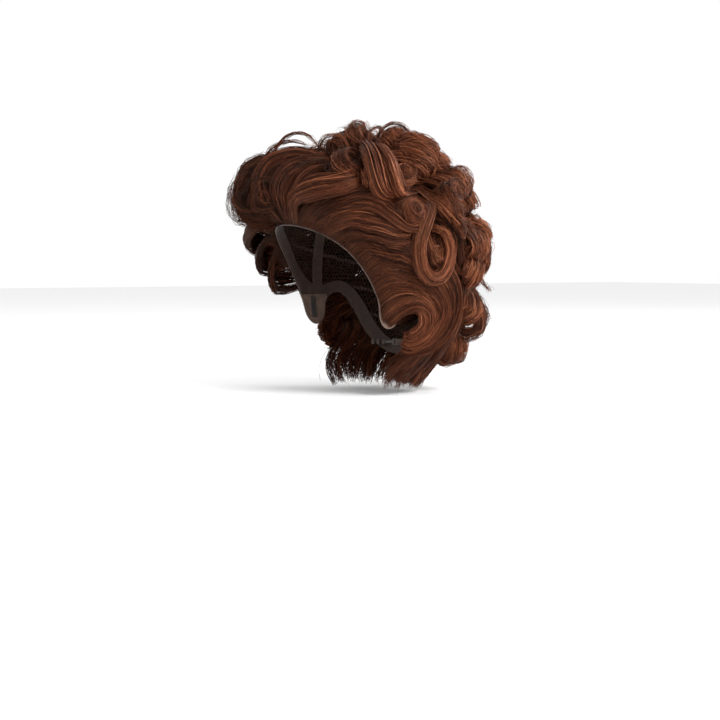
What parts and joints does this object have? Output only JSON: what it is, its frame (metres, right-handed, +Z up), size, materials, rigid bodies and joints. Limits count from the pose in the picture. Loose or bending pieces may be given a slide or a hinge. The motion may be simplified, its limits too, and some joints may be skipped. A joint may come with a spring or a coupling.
{
  "type": "costume wig",
  "caption": "Short curled dress-up wig: set hair locks on a net cap with lace front, sewn bands and wefts, bendable ear tabs and a nape strap adjuster.",
  "frame": {"origin": "middle of the head that the wig sits on, between the ears, at eye level", "axes": "-Y is the way the face looks, +X is the wearer's left, +Z is up"},
  "size_m": [0.2496, 0.2932, 0.2799],
  "materials": {
    "hair": "synthetic fibre, satin",
    "lace": "fine tulle",
    "net": "machine-knit net",
    "ribbon": "satin ribbon",
    "weft": "sewn weft",
    "elastic": "woven elastic",
    "hook_plastic": "moulded",
    "stay_metal": "plain steel strip",
    "label": "satin, blank"
  },
  "bodies": {
    "cap": {"back_curl_centre_low": "hair", "back_curl_centre_upper": "hair", "back_curl_mid_left": "hair", "back_curl_mid_right": "hair", "back_curl_upper_left": "hair", "back_curl_upper_right": "hair", "base_hair_back_left": "hair", "base_hair_back_right": "hair", "base_hair_crown_left": "hair", "base_hair_crown_right": "hair", "base_hair_front": "hair", "base_hair_side_left": "hair", "base_hair_side_right": "hair", "care_label": "label", "centre_tape": "ribbon", "crown_curl_front_left": "hair", "crown_curl_front_right": "hair", "crown_curl_mid_left": "hair", "crown_curl_top": "hair", "crown_net": "net", "crown_roll_left": "hair", "crown_roll_right": "hair", "forelock_curl": "hair", "front_band": "ribbon", "front_lace": "lace", "front_roll": "hair", "hanging_curl_left": "hair", "hanging_curl_right": "hair", "hook_loops_left": "ribbon", "hook_loops_right": "ribbon", "nape_band": "elastic", "nape_curl_left": "hair", "nape_hair_left": "hair", "nape_hair_right": "hair", "ring_curl_left": "hair", "ring_curl_right": "hair", "side_curl_left": "hair", "side_curl_right": "hair", "side_tape_left": "ribbon", "side_tape_right": "ribbon", "strap_left": "elastic", "strap_right": "elastic", "swoop_lock": "hair", "temple_curl_left": "hair", "temple_curl_right": "hair", "weft_row_1": "weft", "weft_row_2": "weft", "weft_row_3": "weft", "weft_row_4": "weft", "weft_row_5": "weft"},
    "left_tab": {"ear_tab_left": "lace", "ear_stay_left": "stay_metal"},
    "right_tab": {"ear_tab_right": "lace", "ear_stay_right": "stay_metal"},
    "left_hook": {"strap_hook_left": "hook_plastic"},
    "right_hook": {"strap_hook_right": "hook_plastic"}
  },
  "joints": [
    {"name": "left_tab_bend", "type": "hinge", "parent": "cap", "child": "left_tab", "pos_m": [0.0765, 0.003, -0.00875], "axis": [0, 1, 0], "range_deg": [0, 12]},
    {"name": "right_tab_bend", "type": "hinge", "parent": "cap", "child": "right_tab", "pos_m": [-0.0765, 0.003, -0.00875], "axis": [0, -1, 0], "range_deg": [0, 12]},
    {"name": "left_hook_slide", "type": "slide", "parent": "cap", "child": "left_hook", "axis": [0.6953, -0.7187, 0], "range_m": [0, 0.008]},
    {"name": "right_hook_slide", "type": "slide", "parent": "cap", "child": "right_hook", "axis": [-0.6953, -0.7187, 0], "range_m": [0, 0.008]}
  ]
}
